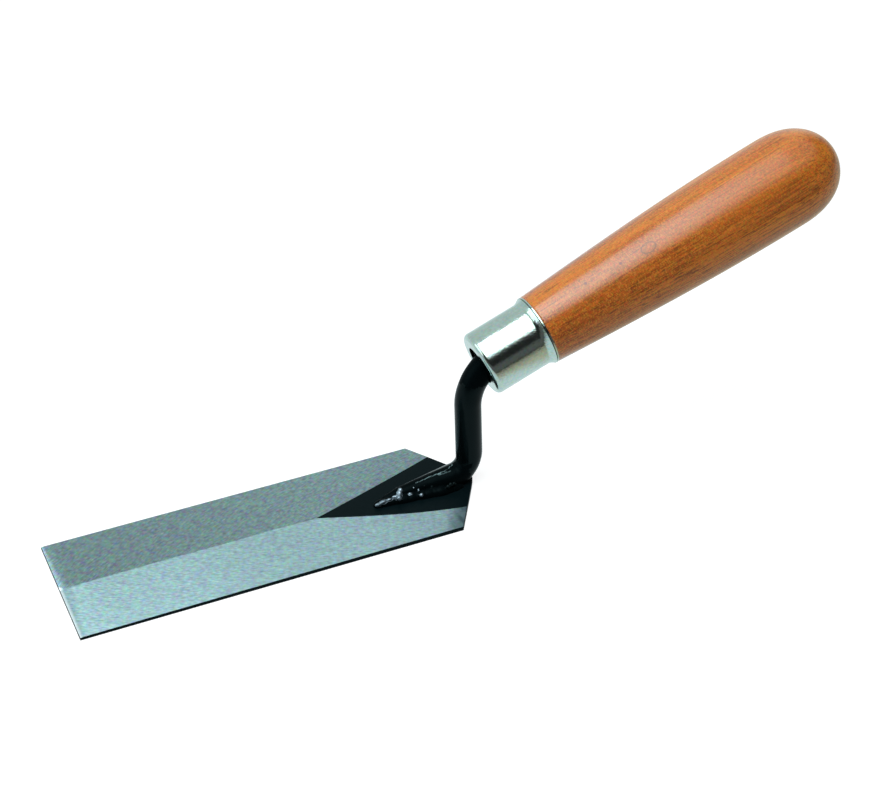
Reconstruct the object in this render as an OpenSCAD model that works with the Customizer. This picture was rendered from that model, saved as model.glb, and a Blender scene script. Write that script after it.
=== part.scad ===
// Margin trowel: a ground steel blade, a cranked shank welded to its heel, and a turned wooden
// handle with a plated ferrule. The origin is the middle of the blade's sole, midway between the
// toe and the heel's corners. +X runs towards the handle and +Z rises from the sole.

/* [Blade] */
// Length of the blade's two long edges, from the toe to the heel's corners
blade_l = 127; // [110:1:160]
// Width of the blade
blade_w = 50.8; // [44:0.1:60]
// How far the heel's point stands behind the heel's corners
heel_point = 15.4; // [12:0.2:20]
// Thickness of the heel, which is left unground
plate_t = 1.6; // [1.5:0.1:2]
// Thickness of the centre ridge at the toe
ridge_toe_t = 1.3; // [1.2:0.05:1.35]
// How far the unground patch reaches forward of the heel's corners
patch_l = 41.5; // [36:0.5:50]
// Angle in plan between the centre line and each side of the unground patch
patch_half_angle = 19; // [16:0.5:24]
// Thickness of the toe's edge, below its bevel
toe_t = 0.85; // [0.6:0.05:0.95]
// Length of the toe's bevel on the centre line
toe_bevel_l = 2.3; // [1.5:0.1:4]

/* [Shank] */
// Diameter of the shank's round bar
neck_d = 8.55; // [7.5:0.05:9.2]
// Distance from the heel's point forward to the neck's axis
neck_inset = 1.6; // [1:0.1:3]
// Height above the sole at which the axes of the neck and the handle meet
crank_h = 42.1; // [38:0.1:50]
// Angle between the handle's axis and the sole
handle_angle = 20.4; // [16:0.2:26]
// Radius of the upper bend, on the bar's axis
crank_r = 18; // [14:0.5:20]
// Radius of the lower bend, on the bar's axis
foot_bend_r = 8.5; // [7:0.5:11]
// Length of the foot in front of the lower bend
foot_l = 26; // [20:0.5:32]
// Diameter of the foot's tip, where it lies on the blade
foot_tip_d = 3.2; // [2.4:0.1:4.4]
// How much of the bar's round is flattened where the foot meets the lower bend
foot_flat = 2.9; // [2.2:0.05:3.4]
// Length of the straight tang behind the upper bend
tang_l = 62; // [45:1:75]
// Diameter of the tang at its end
tang_tip_d = 6; // [4:0.1:7]

/* [Weld] */
// Number of ripples in each side run of weld
weld_ripples = 13; // [9:1:17]
// Radius of the weld's ripples beside the foot's tip
weld_tip_r = 1.7; // [1.2:0.1:2.2]
// Radius of the weld's ripples beside the lower bend
weld_bend_r = 2.7; // [2.2:0.1:3.2]
// Radius of the round of weld at the foot's tip
weld_nose_r = 2.3; // [2:0.1:2.8]

/* [Ferrule] */
// Outside diameter of the ferrule's barrel
ferrule_d = 22.2; // [20:0.1:23.5]
// Length of the ferrule
ferrule_l = 23; // [19:0.1:28]
// Thickness of the ferrule's sheet
ferrule_wall = 0.8; // [0.6:0.05:1.2]
// Radius of the ferrule's front corner, outside
ferrule_corner_r = 1.7; // [1.3:0.1:2.5]
// Clearance between the shank and the hole in the ferrule's front
ferrule_clearance = 0.25; // [0.15:0.05:1]
// Outside diameter of the ferrule's flared mouth
mouth_d = 24.4; // [23.8:0.1:25.5]
// Length of the flare at the ferrule's mouth
flare_l = 3.4; // [2.5:0.1:5]
// Distance along the handle's axis from the neck's axis to the ferrule's front
ferrule_setback = 5; // [4.8:0.1:7]

/* [Handle] */
// Length of the wood that shows behind the ferrule
grip_l = 117; // [100:0.5:140]
// Largest diameter of the handle
grip_d = 32.2; // [29:0.1:36]
// Length of the rounded butt
butt_l = 19; // [16:0.1:30]
// Gap between the ferrule's front wall and the end of the wood inside it
spigot_gap = 2.2; // [1:0.1:4]
// Least thickness of the resin round the shank at the mouth of the wood's bore
resin_t = 0.3; // [0.2:0.05:0.8]
// Depth of the bore beyond the tang's end
bore_spare = 2; // [1:0.5:5]

/* [Hidden] */
$fn = 72;

// A length rounded to a thousandth of a millimetre, so that pieces placed from it meet face to face
function to_micron(length) = round(length * 1000) / 1000;

// The tang and the foot start inside their bends, a shoulder smaller than the bar
run_in = 0.6;
shoulder = 0.12;

// Reach of the blocks that cut whole faces, larger than anything they cut
reach = 2 * (blade_l + blade_w + heel_point);

// Blade
toe_x = -blade_l / 2;
heel_x = blade_l / 2;
heel_point_x = heel_x + heel_point;
half_w = blade_w / 2;
ridge_l = blade_l - patch_l;
ridge_slope = (plate_t - ridge_toe_t) / ridge_l;
side_slope = ridge_slope / tan(patch_half_angle);
bevel_slope = (ridge_toe_t - toe_t) / toe_bevel_l;

// Shank, whose axis lies in the plane y = 0
bar_r = neck_d / 2;
tip_r = foot_tip_d / 2;
neck_x = heel_point_x - neck_inset;
foot_z = plate_t + bar_r - foot_flat;
foot_slope = atan((foot_z - plate_t) / foot_l);
foot_bend_x = neck_x - foot_bend_r;
foot_bend_z = to_micron(foot_z + foot_bend_r * cos(foot_slope));
foot_x = foot_bend_x + foot_bend_r * sin(foot_slope);
foot_tip_x = foot_x - foot_l;
crank_turn = 90 - handle_angle;
crank_tangent = to_micron(crank_r * tan(crank_turn / 2));
neck_top = crank_h - crank_tangent;
tang_start = crank_tangent;
tang_end = tang_start + tang_l;
tang_point_l = tang_tip_d / 2;
tang_point_d = tang_tip_d / 3;

// Weld ripples, as shares of each ripple's own radius
ripple_seat = 0.3;
ripple_size_wander = 0.12;
ripple_step_wander = 0.2;

// Ferrule and handle, measured along the handle's axis from the ferrule's front
barrel_r = ferrule_d / 2;
mouth_r = mouth_d / 2;
spigot_r = barrel_r - ferrule_wall;
flare_start = ferrule_l - flare_l;
spigot_start = ferrule_wall + spigot_gap;
butt_start = ferrule_l + grip_l - butt_l;
bore_end = tang_end + tang_point_l + bore_spare - ferrule_setback;
hole_r = shank_reach(0) + ferrule_clearance;
bore_r = shank_reach(spigot_start) + resin_t;
curve_steps = 24;
corner_steps = 8;

// How far the shank, still bending, reaches from the handle's axis at a distance behind the
// ferrule's front
function shank_reach(along) =
    let (lean = asin((tang_start - ferrule_setback - along) / crank_r))
    crank_r * (1 - cos(lean)) + bar_r / cos(lean);

// Puts its children on the handle's axis, with local +Z along it from the ferrule's front
module on_handle_axis() {
    translate([neck_x, 0, crank_h])
        rotate([0, 90 - handle_angle, 0])
            translate([0, 0, ferrule_setback])
                children();
}

// Space at or below the top of the unground plate
module below_plate() {
    translate([-reach, -reach, plate_t - reach])
        cube([2 * reach, 2 * reach, reach]);
}

// Outline of the blade in plan, with its heel drawn to a blunt point
module blade_outline() {
    polygon([
        [toe_x, -half_w],
        [heel_x, -half_w],
        [heel_point_x, 0],
        [heel_x, half_w],
        [toe_x, half_w],
    ]);
}

// Space above one ground face, which falls from the ridge to the long edge on that side. Past the
// ridge this plane lies above the other ground face, so the block can run right across.
module above_ground_face(side) {
    pitch = atan(ridge_slope);
    translate([toe_x, 0, ridge_toe_t])
        rotate([-side * atan(side_slope * cos(pitch)), -pitch, 0])
            translate([-reach, -reach, 0])
                cube([2 * reach, 2 * reach, reach]);
}

// Space above the bevel that thins the toe
module above_toe_bevel() {
    translate([toe_x, -reach, toe_t])
        rotate([0, -atan(bevel_slope), 0])
            translate([-reach, 0, 0])
                cube([2 * reach, 2 * reach, reach]);
}

module blade() {
    color("silver")
        difference() {
            linear_extrude(plate_t)
                blade_outline();
            for (side = [-1, 1])
                above_ground_face(side);
            above_toe_bevel();
        }
}

// A bend of the round bar about an axis along Y, which starts on +X and turns up towards +Z
module bar_bend(bend_r, turn) {
    rotate([90, 0, 0])
        rotate_extrude(angle = turn)
            translate([bend_r, 0])
                circle(r = bar_r);
}

// The foot and the lower bend, before their undersides are flattened on the blade
module foot_bar() {
    translate([foot_x, 0, foot_z])
        rotate([0, -90 - foot_slope, 0])
            translate([0, 0, -run_in])
                cylinder(r1 = bar_r - shoulder, r2 = tip_r, h = foot_l / cos(foot_slope) + run_in);
    translate([foot_bend_x, 0, foot_bend_z])
        mirror([0, 0, 1])
            bar_bend(foot_bend_r, 90 - foot_slope);
}

// The straight neck, the upper bend and the tang with its pointed end
module neck_and_tang() {
    translate([neck_x, 0, foot_bend_z])
        cylinder(r = bar_r, h = neck_top - foot_bend_z);
    translate([neck_x + crank_r, 0, neck_top])
        mirror([1, 0, 0])
            bar_bend(crank_r, crank_turn);
    on_handle_axis()
        translate([0, 0, tang_start - ferrule_setback]) {
            translate([0, 0, -run_in])
                cylinder(r1 = bar_r - shoulder, r2 = tang_tip_d / 2, h = tang_l + run_in);
            translate([0, 0, tang_l])
                cylinder(d1 = tang_tip_d, d2 = tang_point_d, h = tang_point_l);
        }
}

module shank() {
    color("#15191b") {
        difference() {
            union() {
                foot_bar();
                neck_and_tang();
            }
            below_plate();
        }
    }
}

// Half width of the foot on the blade's top at a share of the way from its tip to the bend
function foot_half_w(share) =
    let (r = tip_r + (bar_r - tip_r) * share, rise = (foot_z - plate_t) * share)
    sqrt(r * r - rise * rise);

// A steady wander from -1 to 1 that keeps neighbouring ripples unlike each other
function wander(i) = sin(i * 137.5 + 40) * cos(i * 61);

// One ripple of weld, a ball seated where the foot's side meets the blade
module weld_ripple(side, i) {
    share = (i + 0.5) / weld_ripples;
    r = weld_tip_r + (weld_bend_r - weld_tip_r) * share;
    x = foot_tip_x + foot_l * share + ripple_step_wander * r * wander(i + 3);
    y = foot_half_w(share) + ripple_seat * r;
    translate([x, side * y, plate_t])
        sphere(r = r * (1 + ripple_size_wander * wander(i + side)));
}

// One side run of weld, from the foot's tip to the lower bend
module weld_run(side) {
    color("#0f1314")
        difference() {
            for (i = [0 : weld_ripples - 1])
                weld_ripple(side, i);
            foot_bar();
            below_plate();
        }
}

// Left and right are as seen from the handle, looking towards the toe
module weld_run_left() {
    weld_run(-1);
}

module weld_run_right() {
    weld_run(1);
}

// The round of weld that closes the foot's tip, clear of the first ripples of the two side runs
module weld_nose() {
    color("#0f1314")
        difference() {
            translate([foot_tip_x, 0, plate_t])
                sphere(r = weld_nose_r);
            for (side = [-1, 1], i = [0 : 2])
                weld_ripple(side, i);
            foot_bar();
            below_plate();
        }
}

// Points of the flare, from the barrel to the mouth, inset by the sheet's thickness or not at all
function flare_points(inset) = [
    for (i = [0 : corner_steps])
        let (share = i / corner_steps)
        [
            barrel_r - inset + (mouth_r - barrel_r) * (1 - cos(90 * share)),
            flare_start + flare_l * share,
        ]
];

// Points of the rounded front corner, from the front face to the barrel
function corner_points(inset) = [
    for (i = [0 : corner_steps])
        let (turn = 90 * i / corner_steps, r = ferrule_corner_r - inset)
        [
            barrel_r - ferrule_corner_r + r * sin(turn),
            ferrule_corner_r - r * cos(turn),
        ]
];

function reversed(points) = [for (i = [len(points) - 1 : -1 : 0]) points[i]];

module ferrule() {
    color("#d9dcd6")
        on_handle_axis()
            rotate_extrude()
                polygon(concat(
                    [[hole_r, 0]],
                    corner_points(0),
                    flare_points(0),
                    reversed(flare_points(ferrule_wall)),
                    reversed(corner_points(ferrule_wall)),
                    [[hole_r, ferrule_wall]]
                ));
}

// Outline of the grip from the ferrule's mouth to the start of the rounded butt
function grip_points() = [
    for (i = [0 : curve_steps])
        let (share = i / curve_steps)
        [
            mouth_r + (grip_d / 2 - mouth_r) * sin(90 * share),
            ferrule_l + (butt_start - ferrule_l) * share,
        ]
];

// Outline of the rounded butt, a quarter of an ellipse that ends on the axis
function butt_points() = [
    for (i = [1 : curve_steps])
        let (turn = 90 * i / curve_steps)
        [
            i < curve_steps ? grip_d / 2 * cos(turn) : 0,
            butt_start + butt_l * sin(turn),
        ]
];

module handle() {
    color("#c47a42")
        on_handle_axis()
            difference() {
                rotate_extrude()
                    polygon(concat(
                        [[0, spigot_start], [spigot_r, spigot_start]],
                        flare_points(ferrule_wall),
                        grip_points(),
                        butt_points()
                    ));
                tang_bore();
            }
}

// The hole for the tang, along the handle's axis
module tang_bore() {
    translate([0, 0, spigot_start])
        cylinder(r = bore_r, h = bore_end - spigot_start);
}

// The resin that fills the bore round the tang
module tang_resin() {
    color("#3a2a1c")
        difference() {
            on_handle_axis()
                tang_bore();
            neck_and_tang();
        }
}

blade();
shank();
weld_run_left();
weld_run_right();
weld_nose();
ferrule();
handle();
tang_resin();
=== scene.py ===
"""The looks of the margin trowel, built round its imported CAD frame. Lengths are in metres."""
from math import atan, atan2, cos, hypot, pi, radians, sin, sqrt, tan

import bmesh
import bpy
from mathutils import Matrix, Vector, noise


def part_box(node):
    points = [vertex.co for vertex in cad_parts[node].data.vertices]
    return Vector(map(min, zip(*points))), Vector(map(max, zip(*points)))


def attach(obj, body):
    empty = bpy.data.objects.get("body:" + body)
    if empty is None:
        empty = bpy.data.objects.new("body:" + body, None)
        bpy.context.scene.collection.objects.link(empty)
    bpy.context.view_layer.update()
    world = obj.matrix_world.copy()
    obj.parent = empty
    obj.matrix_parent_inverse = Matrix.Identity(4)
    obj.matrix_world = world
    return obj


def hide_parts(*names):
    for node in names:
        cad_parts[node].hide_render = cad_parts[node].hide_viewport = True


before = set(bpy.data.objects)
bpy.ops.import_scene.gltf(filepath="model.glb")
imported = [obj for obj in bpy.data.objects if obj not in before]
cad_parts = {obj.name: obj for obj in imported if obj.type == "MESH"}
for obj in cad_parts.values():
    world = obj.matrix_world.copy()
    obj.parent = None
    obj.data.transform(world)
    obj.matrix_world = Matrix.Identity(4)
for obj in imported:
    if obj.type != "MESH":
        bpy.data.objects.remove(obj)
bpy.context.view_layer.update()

MM = 0.001

# The camera's side of the tool and the other side, as the sign of y
NEAR = -1
FAR = 1

# Points closer together than this are one point
ROUNDING = 0.001 * MM

# Edges that turn more sharply than this are shaded as sharp
SHARP_ANGLE = radians(40)

# Camera, worked out from the blade's corners in the photograph
CAMERA_AZIMUTH = radians(-23.056)
CAMERA_ELEVATION = radians(32.1)
CAMERA_ROLL = radians(-1.832)
CAMERA_DISTANCE = 576.643 * MM
CAMERA_SLIDE_RIGHT = 60.591 * MM
CAMERA_SLIDE_UP = 45.34 * MM
CAMERA_CLIP = 10 * MM
LENS_MM = 72.82
SENSOR_MM = 36

# Blade
blade_low, blade_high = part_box("blade")
TOE_X = blade_low.x
HEEL_X = -TOE_X
HEEL_POINT_X = blade_high.x
HALF_W = blade_high.y
PLATE_T = blade_high.z
RIDGE_TOE_T = 1.3 * MM
PATCH_TIP_X = HEEL_X - 41.5 * MM
PATCH_HALF_ANGLE = radians(19)
TOE_T = 0.85 * MM
TOE_BEVEL_L = 2.3 * MM
RIDGE_SLOPE = (PLATE_T - RIDGE_TOE_T) / (PATCH_TIP_X - TOE_X)
SIDE_SLOPE = RIDGE_SLOPE / tan(PATCH_HALF_ANGLE)
BEVEL_SLOPE = (RIDGE_TOE_T - TOE_T) / TOE_BEVEL_L
HEEL_BLUNTNESS = 1.2 * MM
HEEL_SKEW = 1 * MM
RIM_BEVEL = 0.15 * MM

# The unground patch spreads evenly from its tip, and near the heel its edge curls in, or out if negative
PATCH_SPREAD = {NEAR: 19.5 * MM, FAR: 16.2 * MM}
PATCH_CURL = {NEAR: 3.75 * MM, FAR: -0.7 * MM}

# The hand-ground ridge wanders a little to either side of this line, and meets the patch at its tip
RIDGE_Y = 0.3 * MM
RIDGE_WANDER = 0.25 * MM
RIDGE_WANDER_L = 22 * MM
RIDGE_SETTLE_POWER = 6

# Half the width of the strip in which one ground face's painted light and shade gives way to the other's
FACE_SEAM = 0.06 * MM

# Centre of the arcs that the grinding wheel left on the far face, mirrored for the near one
WHEEL_X = 150 * MM
WHEEL_Y = -280 * MM
GRIND_MAP = "grind"

# Order of the materials on the blade and on the shank
BLADE_STEEL, BLADE_PATCH, BLADE_EDGE = range(3)
SHANK_LACQUER, SHANK_SOOT, SHANK_GLOSS = range(3)

# Shank
BAR_R = 4.5 * MM
NECK_X = HEEL_POINT_X - 1.6 * MM
CRANK_H = 42.1 * MM
CRANK_R = 18 * MM
FOOT_X = 69.25 * MM
FOOT_Z = 2.975 * MM
FOOT_L = 26 * MM
FOOT_TIP_R = 1.6 * MM
FOOT_TIP_X = FOOT_X - FOOT_L
HEEL_BEND_FRONT_R = 1.7 * MM
HEEL_BEND_BACK_R = 14 * MM
TANG_L = 62 * MM
TANG_TIP_R = 3 * MM
FORGED_ROUGHNESS = 0.09 * MM
FORGED_GRAIN = 5 * MM

# How far the foot's tip slants back per unit of width, and the share of the foot in which that dies out
FOOT_SLANT = 2.0
FOOT_SLANT_SHARE = 0.35

# Dull soot covers the foot up to ragged lines, but for its far side, and the bend by the ferrule
SOOT_TOP_Z = 9 * MM
SOOT_END_X = NECK_X - 1.5 * MM
SOOT_EDGE_Y = 1.2 * MM
SOOT_RAGGEDNESS = 2 * MM
BEND_SOOT_Z = 39 * MM

# Weld
WELD_TIP_R = 1.7 * MM
WELD_BEND_R = 2.7 * MM
WELD_RUN_L = 29 * MM
WELD_NOSE_R = 1.2 * MM
WELD_VOXEL = 0.15 * MM
WELD_WAVES = 0.15 * MM
WELD_WAVE_L = 2.5 * MM

# The far run is leaner and starts further along the foot
WELD_FULLNESS = {NEAR: 1, FAR: 0.6}
WELD_START = {NEAR: 0, FAR: 0.3}

# Ripples of a run: count, spread of their sizes, and offset and half length as shares of their radius
RIPPLES = 14
RIPPLE_UNEVENNESS = 0.2
RIPPLE_OFFSET = 0.3
RIPPLE_STRETCH = 1.6

# A run thins out at this rate towards its end, where this share of its section is left
RUN_END_RATE = 3.5
RUN_END_SHARE = 0.1

# Where the weld at the foot's tip has its lumps, as shares of the way across the tip
NOSE_SHARES = (0.1, 0.4, 0.7, 1.0)

# Rows of lumps on the near run and the foot, in mm: first and last centre, count, radius, half length
BARE_ROWS = (
    ((42.6, -3.2, 2.7), (48.8, -2.6, 3.7), 4, 0.75, 1.4),
    ((49.8, -3.7, 3.6), (51.4, -1.0, 4.8), 3, 1.25, 1.25),
    ((54.0, -3.2, 3.5), (57.3, -5.3, 3.3), 2, 0.75, 0.75),
    ((56.0, -1.9, 4.5), (57.4, -2.8, 3.9), 2, 0.35, 0.35),
)
GLOSSY_ROWS = (
    ((57.5, -0.85, 5.35), (67.7, -1.05, 7.0), 18, 0.3, 0.6),
    ((67.9, -1.0, 7.05), (71.2, 0.1, 7.7), 7, 0.35, 0.5),
    ((65.6, -1.6, 6.5), (69.6, -1.85, 7.0), 7, 0.3, 0.6),
)
SATIN_ROWS = (
    ((59.6, -2.6, 4.6), (64.4, -4.3, 3.6), 3, 0.5, 0.6),
    ((66.8, -5.5, 4.0), (69.2, -5.0, 4.4), 3, 1.0, 1.0),
)
LUMP_UNEVENNESS = 0.6

# Steps through the noise from lump to lump and from row to row, and the level at which it is read
RIPPLE_NOISE = (1.7, 3.1, 0.4)
LUMP_NOISE = (2.3, 7.7, 1.1)

# Ferrule and handle, measured along the handle's axis from the ferrule's front
FERRULE_SETBACK = 5 * MM
FERRULE_R = 11.1 * MM
FERRULE_L = 23 * MM
FERRULE_WALL = 0.8 * MM
FERRULE_CORNER_R = 1.7 * MM
FERRULE_HOLE_R = 6.6 * MM
MOUTH_R = 12.2 * MM
FLARE_L = 2.5 * MM
LIP_R = 0.3 * MM
LIP_L = 0.6 * MM
LIP_GROOVE = 0.35 * MM
SPIGOT_START = 3 * MM
BORE_R = 5.29 * MM
BORE_END = 74.4 * MM
GRIP_END = 140 * MM
GRIP_R = 16.2 * MM
BUTT_L = 22 * MM
SHOULDER_GROOVE = 0.3 * MM

# A power of 2 would make the butt half an ellipsoid, and a higher one makes it fuller
BUTT_POWER = 2.4

# The handle rises from level by this angle, and its own frame starts at the ferrule's front
HANDLE_ANGLE = radians(20.4)
HANDLE_TURN = pi / 2 - HANDLE_ANGLE
HANDLE_AXIS = Vector((sin(HANDLE_TURN), 0, cos(HANDLE_TURN)))
FERRULE_FRONT = Vector((NECK_X, 0, CRANK_H)) + FERRULE_SETBACK * HANDLE_AXIS
HANDLE_PLACE = Matrix.Translation(FERRULE_FRONT) @ Matrix.Rotation(HANDLE_TURN, 4, "Y")

# Marks in the wood, as distances down, to the far side and along the handle from the ferrule's front
KNOT = Vector((-11.9, -8.48, 64.85)) * MM
KNOT_R = 1.7 * MM
KNOT_HALF_L = 2.6 * MM
KNOT_RING_T = 0.35 * MM
KNOT_STRENGTH = 0.85
SPECKS = (Vector((-11.44, -6.8, 41.3)) * MM, Vector((-11.72, -7.77, 54.4)) * MM)
SPECK_R = 0.7 * MM
SPECK_CORE_R = 0.3 * MM

# Tones of the steel, the weld metal, the nickel and the resin, the darker of two first
STEEL_TONES = ((0.205, 0.288, 0.299, 1), (0.348, 0.476, 0.5, 1))
# Tone that the near face darkens to in streaks by the heel's edge
HEEL_EDGE_DARK_TONE = (0.045, 0.07, 0.082, 1)
# Tone of the painted highlight on the toe's near edge
TOE_HIGHLIGHT_TONE = (0.85, 0.9, 0.92, 1)
BARE_WELD_TONES = ((0.13, 0.17, 0.2, 1), (0.29, 0.35, 0.4, 1))
NICKEL_TONES = ((0.46, 0.56, 0.51, 1), (0.54, 0.65, 0.6, 1))
# Tone of the painted shade in the groove behind the ferrule's lip
GROOVE_SHADE_TONE = (0.03, 0.035, 0.035, 1)
RESIN_TONES = ((0.004, 0.003, 0.002, 1), (0.012, 0.008, 0.005, 1))

# Tones of the black lacquer, darkest first, and the tint of its gloss
LACQUER_TONES = ((0.0014, 0.0045, 0.0055), (0.003, 0.0075, 0.009))
LACQUER_GLOSS = (0.65, 0.97, 1, 1)

# Tones of the wood, and the factors on its red, green and blue at the ferrule and at the butt
WOOD_TONES = ((0.50, 0.115, 0.010, 1), (0.71, 0.195, 0.018, 1))
FIBRE_TONE = (0.26, 0.055, 0.006, 1)
VEIN_TONE = (0.24, 0.045, 0.005, 1)
FLECK_TONE = (0.82, 0.29, 0.04, 1)
PORE_TONE = (0.16, 0.03, 0.005, 1)
KNOT_TONE = (0.2, 0.05, 0.01, 1)
SPECK_TONE = (0.2, 0.03, 0.01, 1)
# Paler and yellower towards the butt: partly the wood's own tone, partly painted light
FERRULE_END_SHADE = (1.0, 0.98, 1.0, 1)
BUTT_END_SHADE = (1.19, 1.28, 1.45, 1)

# Lamps, table and room
LAMP_COLOUR = (0.86, 1.0, 1.03)
TABLE_LEFT = -0.5
TABLE_RIGHT = 1.6
TABLE_FRONT = -0.32
TABLE_BACK = 1.6
TABLE_DROP = 0.02 * MM
TABLE_GREY = (0.45, 0.45, 0.45, 1)
TABLE_VEIL = (0.36, 0.36, 0.36, 1)
# Painted warm glow that metal sees on the table under the handle, standing in for light thrown back from
# the wood
PAINTED_WOOD_BOUNCE = (0.68, 0.65, 0.51, 1)
WALL_DIRECTION = (-0.4, 0.9, 0)
WALL_TONE = (0.66, 0.76, 0.76, 1)
AMBIENT_TONE = (0.2, 0.2, 0.2, 1)
WHITE = (1, 1, 1, 1)

# Most of a noise lies between these values
NOISE_LOW = 0.3
NOISE_HIGH = 0.7

# A grain size that leaves an axis of a noise even
EVEN = 1.0

# Sockets of a Mix node that mixes colours
MIX_SHARE = 0
MIX_FIRST = 6
MIX_SECOND = 7
MIX_RESULT = 2


def shares(steps):
    """Evenly spaced numbers from 0 to 1, one more than there are steps."""
    return [i / steps for i in range(steps + 1)]


def circle_turns(segments):
    """Evenly spaced angles once round a circle."""
    return [2 * pi * share for share in shares(segments)[:-1]]


def quarter_turns(steps):
    """Evenly spaced angles over a quarter of a circle."""
    return [pi / 2 * share for share in shares(steps)]


def mix(first, second, share):
    """A number between two others."""
    return first + (second - first) * share


class Nodes:
    """Short calls that add nodes to one tree and join them up."""

    def __init__(self, tree):
        self.tree = tree

    def feed(self, socket, value):
        """Joins an output to a socket, or sets the socket to a fixed value."""
        if isinstance(value, bpy.types.NodeSocket):
            self.tree.links.new(value, socket)
        else:
            socket.default_value = value

    def add(self, kind, inputs=(), **settings):
        """Adds a node, sets its properties and feeds its inputs, given by name or in order."""
        node = self.tree.nodes.new("ShaderNode" + kind)
        for name, value in settings.items():
            setattr(node, name, value)
        pairs = inputs.items() if isinstance(inputs, dict) else enumerate(inputs)
        for key, value in pairs:
            self.feed(node.inputs[key], value)
        return node

    def place(self):
        """Coordinates of the piece itself, in metres."""
        return self.add("TexCoord").outputs["Object"]

    def handle_place(self):
        """Coordinates whose third axis runs along the handle from the ferrule's front."""
        from_front = self.vector("SUBTRACT", self.place(), FERRULE_FRONT)
        inputs = {"Vector": from_front, "Angle": -HANDLE_TURN}
        return self.add("VectorRotate", inputs, rotation_type="Y_AXIS").outputs[0]

    def split(self, vector):
        """The three parts of a vector."""
        return self.add("SeparateXYZ", (vector,)).outputs

    def math(self, operation, *values):
        """One step of arithmetic."""
        return self.add("Math", values, operation=operation).outputs[0]

    def product(self, result, *factors):
        """Values multiplied together."""
        for factor in factors:
            result = self.math("MULTIPLY", result, factor)
        return result

    def vector(self, operation, *values):
        """One step of arithmetic on vectors."""
        return self.add("VectorMath", values, operation=operation).outputs[0]

    def length(self, vector):
        """How long a vector is."""
        return self.add("VectorMath", (vector,), operation="LENGTH").outputs["Value"]

    def noise(self, place, grain, detail=2.0):
        """Grey noise with the given grain size along each axis."""
        scaled = self.vector("MULTIPLY", place, [1 / size for size in grain])
        inputs = {"Vector": scaled, "Scale": 1.0, "Detail": detail}
        return self.add("TexNoise", inputs).outputs[0]

    def fade(self, value, start, end, low=0.0, high=1.0):
        """A smooth step from low at start to high at end."""
        inputs = (value, start, end, low, high)
        return self.add("MapRange", inputs, interpolation_type="SMOOTHSTEP").outputs[0]

    def blend(self, share, first, second, kind="MIX"):
        """A colour between two others, or the second laid over the first in another way."""
        inputs = {MIX_SHARE: share, MIX_FIRST: first, MIX_SECOND: second}
        return self.add("Mix", inputs, data_type="RGBA", blend_type=kind).outputs[MIX_RESULT]

    def tint(self, colour, place, grain, strength):
        """A colour with faint patches of other hues in it."""
        scaled = self.vector("DIVIDE", place, (grain,) * 3)
        hues = self.add("TexNoise", {"Vector": scaled, "Scale": 1.0}).outputs["Color"]
        return self.blend(strength, colour, hues, "OVERLAY")

    def bump(self, height, depth):
        """A normal that follows a height from 0 to 1, which stands for the given depth."""
        return self.add("Bump", {"Height": height, "Distance": depth}).outputs["Normal"]


def new_material(name):
    """A material, its nodes and its Principled shader."""
    material = bpy.data.materials.new(name)
    material.use_nodes = True
    return material, Nodes(material.node_tree), material.node_tree.nodes["Principled BSDF"]


def dress(nodes, shader, **inputs):
    """Feeds a shader's inputs, named in lower case with underscores."""
    for name, value in inputs.items():
        nodes.feed(shader.inputs[name.replace("_", " ").title().replace("Ior", "IOR")], value)


def near_face(nodes):
    """A mask of the ground face on the near side of the ridge."""
    _, y, _ = nodes.split(nodes.place())
    return nodes.fade(y, RIDGE_Y + FACE_SEAM, RIDGE_Y - FACE_SEAM)


def heel_edge_darkening(nodes):
    """A mask that darkens the near face in streaks towards the heel's edge."""
    reach = 8.5 * MM
    core = 1.2 * MM
    edge_slope = (HEEL_X - HEEL_POINT_X) / HALF_W
    place = nodes.place()
    x, y, _ = nodes.split(place)
    strokes = nodes.noise(place, (2.2 * MM, 7 * MM, EVEN), detail=3)
    slid_to_centre = nodes.math("MULTIPLY_ADD", y, edge_slope, x)
    near_heel = nodes.fade(slid_to_centre, HEEL_POINT_X - reach, HEEL_POINT_X - core)
    strength = nodes.fade(strokes, 0.35, 0.65, low=0.65, high=0.95)
    return nodes.product(near_heel, near_face(nodes), strength)


def toe_painted_highlight(nodes):
    """A mask of the painted highlight along the edge of the toe's near half."""
    slant = 0.85
    toe_y = slant * TOE_X
    x, y, _ = nodes.split(nodes.place())
    edge = nodes.fade(x, TOE_X + 1.4 * MM, TOE_X + 0.2 * MM)
    slanted_y = nodes.math("MULTIPLY_ADD", x, slant, y)
    near_half = nodes.fade(slanted_y, toe_y + 2.6 * MM, toe_y + 1.8 * MM)
    return nodes.product(edge, near_half)


def painted_face_light(nodes):
    """Painted light and shade on the ground faces: the near one brightest at the toe, the far one
    brightest at the heel.
    """
    near_end_x = 15 * MM
    toe_strip = 16 * MM
    x, _, _ = nodes.split(nodes.place())
    near = nodes.fade(x, TOE_X, near_end_x, low=1.28, high=0.76)
    toe = nodes.fade(x, TOE_X + toe_strip, TOE_X, high=0.2)
    near = nodes.math("ADD", near, toe)
    far = nodes.fade(x, TOE_X, HEEL_X, low=1.12, high=1.3)
    return nodes.add("Mix", {"Factor": near_face(nodes), "A": far, "B": near}).outputs["Result"]


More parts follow.
